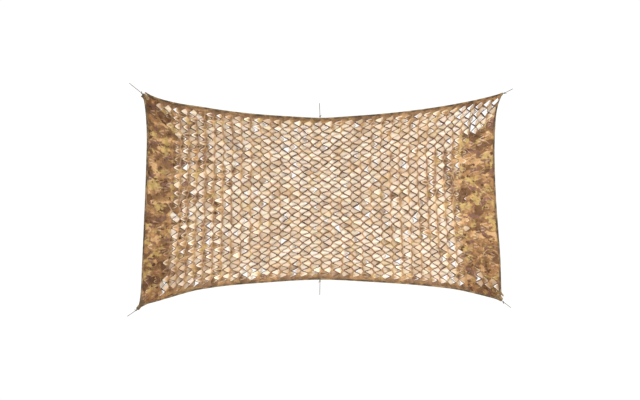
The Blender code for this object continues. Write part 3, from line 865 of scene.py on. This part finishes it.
# A painted highlight along the roll's outer fold.
outer = add_ramp(tree, -700, -300, split.outputs["Y"], ((0.40, 0), (0.46, 1), (0.54, 1), (0.60, 0)))
colour = add_mix(tree, -300, 0, outer, dark_print_and_shade, (0.42, 0.33, 0.14))
tree.links.new(colour, shader.inputs["Base Color"])
gather = add_noise(tree, -1000, -600, spot, 180.0, 2.0)
rough = add_bump(tree, -300, -500, gather.outputs["Fac"], 0.5, 0.0015)
tree.links.new(rough, shader.inputs["Normal"])
hem.data.materials.append(hem_cloth)
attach(hem, "root")

# ---- Stitching ----
# A lock stitch in brown thread holds each hem roll down, 6 mm to the stitch, near the side of
# the roll that faces into the cloth. It shows on the front and on the back.
STITCH_PITCH = 0.006
STITCH_LENGTH = 0.0042
STITCH_THICKNESS = 0.0009
STITCH_TURN = np.radians(48)
STITCH_END = 0.03
STITCH_AROUND = ((1, 0), (0, 1), (-1, 0), (0, -1))
# Columns: place along half a stitch, share of its thickness.
STITCH_SHAPE = ((-1.0, 0.25), (-0.5, 1.0), (0.5, 1.0), (1.0, 0.25))
stitch_points, stitch_faces = [], []
for roll in HEM_ROLLS:
    line, inward, travelled = even_points(*roll_line(roll))
    for way in np.arange(STITCH_END, travelled[-1] - STITCH_END, STITCH_PITCH):
        ring = int(way / travelled[-1] * (len(line) - 1))
        share = way / travelled[-1] * (len(line) - 1) - ring
        middle = line[ring] * (1 - share) + line[ring + 1] * share
        run = line[ring + 1] - line[ring]
        run = np.array((run[0], 0, run[1])) / np.linalg.norm(run)
        for face in (-1, 1):
            turn = face * STITCH_TURN
            seat = np.array(hem_surface(middle, inward[ring], way, travelled[-1], turn, HEM_WIDTH))
            beside = np.array((inward[ring][0] * 0.6, face * -0.8, inward[ring][1] * 0.6))
            up = np.array((inward[ring][0] * 0.8, face * 0.6, inward[ring][1] * 0.8))
            start = len(stitch_points)
            for place, girth in STITCH_SHAPE:
                for a, b in STITCH_AROUND:
                    spot_now = seat + run * place * STITCH_LENGTH / 2
                    spot_now = spot_now + (beside * a + up * b) * girth * STITCH_THICKNESS / 2
                    stitch_points.append(tuple(spot_now))
            stitch_faces.extend(tube_walls(start, 4, range(len(STITCH_SHAPE)))[0])
            stitch_faces.append(tuple(start + i for i in (3, 2, 1, 0)))
            stitch_faces.append(tuple(start + 12 + i for i in range(4)))
stitching = closed_piece("stitching", stitch_points, stitch_faces, 180)

thread, tree, shader = add_material("brown_thread", {"Roughness": 0.6, "Sheen Weight": 0.2})
spot = add_node(tree, "ShaderNodeTexCoord", -800, 0).outputs["Object"]
fleck = add_noise(tree, -600, 0, spot, 300.0, 2.0)
thread_colours = ((0.35, (0.16, 0.11, 0.06)), (0.65, (0.34, 0.25, 0.14)))
colour = add_ramp(tree, -300, 0, fleck.outputs["Fac"], thread_colours)
tree.links.new(colour, shader.inputs["Base Color"])
stitching.data.materials.append(thread)
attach(stitching, "root")

# ---- Ties and guy cords ----
# Six lengths of three-strand cord. Each goes through a cut beside the hem and round the hem, is
# wound twice round its own standing part, and runs straight out to a plainly cut end.
CORD_DIAMETER = 0.005
# How far the knot reaches from its middle along the standing part.
KNOT_REACH = 0.0068
# Columns: name, middle of the cut that the tie goes through, knot, far end, as (x, z).
TIES = (
    ("top_left", (-1.471, 0.190), (-1.490, 0.205), (-1.595, 0.289)),
    ("top_middle", (0.0, -0.021), (0.0, 0.011), (-0.004, 0.123)),
    ("top_right", (1.520, 0.198), (1.543, 0.206), (1.613, 0.242)),
    ("bottom_left", (-1.522, -1.592), (-1.536, -1.609), (-1.611, -1.661)),
    ("bottom_middle", (0.0, -1.333), (0.0, -1.365), (-0.002, -1.483)),
    ("bottom_right", (1.511, -1.521), (1.532, -1.540), (1.597, -1.589)),
)
STRANDS = 3
LAY_LENGTH = 0.014
# The cord's radius between two strands, what a strand adds to it, and how far a cut end is round,
# as shares.
STRAND_ROOT = 0.86
STRAND_RISE = 0.16
END_ROUNDING = 0.10
CORD_AROUND = 18
GUY_STEP = 0.0012
# A tie is pulled thinner, and is wound round its own standing part from just beyond the knot back.
TIE_DIAMETER = CORD_DIAMETER * 0.86
TIE_STEP = 0.0011
WINDING_TURNS = 2.25
WINDING_POINTS = 46
WINDING_START = 0.0055
WINDING_PITCH = 0.0048
WINDING_RADIUS = 0.0046
# The tail's free end and its root, from the winding's start. Columns: aside, outward, forward.
TAIL = ((0.009, 0.006, 0.001), (0.004, 0.003, 0.0))
# How far the loop stands off the cloth beside the hem, and its bend in the cut: how far it lies
# towards the knot, its reach, its flatness and its depth.
LOOP_DEPTH = 0.0075
BEND_OFFSET = 0.0008
BEND_REACH = 0.0045
BEND_FLATNESS = 0.6
BEND_DEPTH = 0.0070


def even_line(line, step):
    """A line's points set evenly, about a step apart."""
    line = np.asarray(line, float)
    travelled = travelled_along(line)
    even = np.linspace(0, travelled[-1], max(3, round(travelled[-1] / step) + 1))
    return np.column_stack([np.interp(even, travelled, line[:, i]) for i in range(3)])


def laid_cord(name, line, diameter, step):
    """A three-strand cord swept along a line: its strands lie in a right-hand twist."""
    line = even_line(line, step)
    run = np.gradient(line, axis=0)
    run /= np.linalg.norm(run, axis=1)[:, None]
    beside = np.cross(run[0], (0.0, 1.0, 0.02))
    cord_points, travelled = [], 0.0
    for i, (middle, way) in enumerate(zip(line, run)):
        beside = beside - way * (beside @ way)
        beside /= np.linalg.norm(beside)
        over = np.cross(way, beside)
        if i:
            travelled += np.linalg.norm(middle - line[i - 1])
        for j in range(CORD_AROUND):
            turn = 2 * np.pi * j / CORD_AROUND
            swell = abs(np.cos(STRANDS / 2 * (turn - 2 * np.pi * travelled / LAY_LENGTH)))
            radius = diameter / 2 * (STRAND_ROOT + STRAND_RISE * swell ** 0.6)
            cord_points.append(tuple(middle + radius * (beside * np.cos(turn) + over * np.sin(turn))))
    cord_faces, cord_uv = tube_walls(0, CORD_AROUND, np.arange(len(line)) * step)
    for ring, way in ((0, -1), (len(line) - 1, 1)):
        inner = len(cord_points)
        cord_points.append(tuple(line[ring] + run[ring] * way * diameter * END_ROUNDING))
        for j in range(CORD_AROUND):
            a, b = ring * CORD_AROUND + j, ring * CORD_AROUND + (j + 1) % CORD_AROUND
            cord_faces.append((a, b, inner)[::way])
            cord_uv.extend(((ring * step, j / CORD_AROUND),) * 3)
    return closed_piece(name, cord_points, cord_faces, 60, "lay", cord_uv), line


cord_sockets = {"Roughness": 0.65, "Sheen Weight": 0.3, "Specular IOR Level": 0.35}
cord_fibre, tree, shader = add_material("cord_fibre", cord_sockets)
lay = add_node(tree, "ShaderNodeUVMap", -1200, 0, uv_map="lay").outputs["UV"]
stretched = add_node(tree, "ShaderNodeMapping", -1000, 0)
stretched.inputs["Scale"].default_value = (90.0, 40.0, 1.0)
tree.links.new(lay, stretched.inputs["Vector"])
fibre = add_noise(tree, -800, 0, stretched.outputs[0], 3.0, 4.0, 0.6)
colour = add_ramp(
    tree, -500, 0, fibre.outputs["Fac"],
    ((0.30, (0.045, 0.034, 0.017)), (0.55, (0.088, 0.067, 0.034)), (0.75, (0.150, 0.118, 0.066))),
)
tree.links.new(colour, shader.inputs["Base Color"])
hair = add_bump(tree, -300, -300, fibre.outputs["Fac"], 0.5, 0.0005)
tree.links.new(hair, shader.inputs["Normal"])

for tie_name, through, knot, far_end in TIES:
    through, knot, far_end = (np.array((p[0], 0.0, p[1])) for p in (through, knot, far_end))
    out = (far_end - knot) / np.linalg.norm(far_end - knot)
    to_knot = (knot - through) / np.linalg.norm(knot - through)
    front = np.array((0.0, -1.0, 0.0))
    aside = np.cross(out, front)
    winding = []
    for turn in np.linspace(0, WINDING_TURNS, WINDING_POINTS):
        angle = 2 * np.pi * turn
        round_it = aside * np.cos(angle) + front * np.sin(angle)
        winding.append(knot + out * (WINDING_START - WINDING_PITCH * turn) + round_it * WINDING_RADIUS)
    tail = [winding[0] + aside * a + out * b + front * c for a, b, c in TAIL]
    loop_front = [
        knot + (through - knot) * share + front * LOOP_DEPTH * np.sin(np.pi * min(1, share * 1.25)) ** 0.5
        for share in np.linspace(0.30, 0.82, 8)
    ]
    loop_under = [
        through + to_knot * BEND_OFFSET - to_knot * BEND_REACH * np.cos(angle) * BEND_FLATNESS
        + front * BEND_DEPTH * np.sin(angle)
        for angle in np.linspace(np.pi / 2, -np.pi / 2, 9)
    ]
    loop_back = [point * (1, -1, 1) for point in loop_front[::-1]]
    path = np.array([*tail, *winding, *loop_front, *loop_under, *loop_back, knot + out * 0.002])
    for _ in range(2):
        path[1:-1] = (path[:-2] + 2 * path[1:-1] + path[2:]) / 4
    tie, _ = laid_cord("knotted_" + tie_name, path, TIE_DIAMETER, TIE_STEP)
    tie.data.materials.append(cord_fibre)
    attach(tie, "root")
    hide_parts("tie_" + tie_name)

    start = knot + out * KNOT_REACH
    last_ring = far_end - out * (CORD_DIAMETER * END_ROUNDING)
    guy, line = laid_cord("guy_" + tie_name, [start, last_ring], CORD_DIAMETER, GUY_STEP)
    guy.data.materials.append(cord_fibre)
    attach(guy, "root")
    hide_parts("cord_" + tie_name)

# ---- Floor, light and camera ----
# A round pale floor below the net, a white surround, large soft lamps and a long lens face on.
FLOOR_Z = -1.95
FLOOR_RADIUS = 3.4
bpy.ops.mesh.primitive_circle_add(
    vertices=96, radius=FLOOR_RADIUS, fill_type="NGON", location=(0, 0, FLOOR_Z)
)
floor = bpy.context.object
floor.name = "floor"
floor_sockets = {
    "Base Color": (0.95, 0.95, 0.94, 1), "Roughness": 0.9,
    "Emission Color": (1, 1, 1, 1), "Emission Strength": 0.45,
}
floor.data.materials.append(add_material("floor", floor_sockets)[0])

# How strongly the white surround lights the net, and how bright it looks itself.
SURROUND_LIGHT = 0.24
SURROUND_SEEN = 1.05
world = bpy.data.worlds.new("studio")
bpy.context.scene.world = world
world.use_nodes = True
tree = world.node_tree
background = tree.nodes["Background"]
background.inputs["Color"].default_value = (1.0, 1.0, 1.0, 1)
seen = add_node(tree, "ShaderNodeLightPath", -600, 0)
strength = add_node(tree, "ShaderNodeMapRange", -300, 0)
strength.inputs["To Min"].default_value = SURROUND_LIGHT
strength.inputs["To Max"].default_value = SURROUND_SEEN
tree.links.new(seen.outputs["Is Camera Ray"], strength.inputs["Value"])
tree.links.new(strength.outputs[0], background.inputs["Strength"])

# Soft lamps, all aimed at the middle of the net. Columns: name, place, size, power.
LAMPS = (
    ("key", (5.5, -7.0, 3.0), 7.0, 870.0),
    ("fill", (-1.5, -9.0, 0.5), 4.0, 145.0),
    ("back", (-3.0, 6.0, 2.5), 4.0, 150.0),
    ("overhead", (0.0, 0.0, 4.5), 6.0, 400.0),
)
LAMP_AIM = Vector((0, 0, -0.7))
for lamp_name, place, size, power in LAMPS:
    lamp_data = bpy.data.lights.new(lamp_name, "AREA")
    lamp_data.size = size
    lamp_data.energy = power
    lamp = bpy.data.objects.new(lamp_name, lamp_data)
    lamp.location = place
    lamp.rotation_euler = (LAMP_AIM - Vector(place)).to_track_quat("-Z", "Y").to_euler()
    bpy.context.collection.objects.link(lamp)

# The image in pixels, the row in it where the frame's z is zero, and a pixel's size at the net.
IMAGE_WIDTH = 640
IMAGE_HEIGHT = 400
ORIGIN_ROW = 117.7
METRES_PER_PIXEL = 0.00836
LENS = 100.0
SENSOR = 36.0
camera_data = bpy.data.cameras.new("camera")
camera_data.lens = LENS
camera_data.sensor_width = SENSOR
camera_data.clip_end = 200
camera = bpy.data.objects.new("camera", camera_data)
distance = IMAGE_WIDTH * METRES_PER_PIXEL * LENS / SENSOR
camera.location = (0.0, -distance, (ORIGIN_ROW - IMAGE_HEIGHT / 2) * METRES_PER_PIXEL)
camera.rotation_euler = (np.pi / 2, 0, 0)
bpy.context.collection.objects.link(camera)
bpy.context.scene.camera = camera
bpy.context.scene.view_settings.view_transform = "Standard"
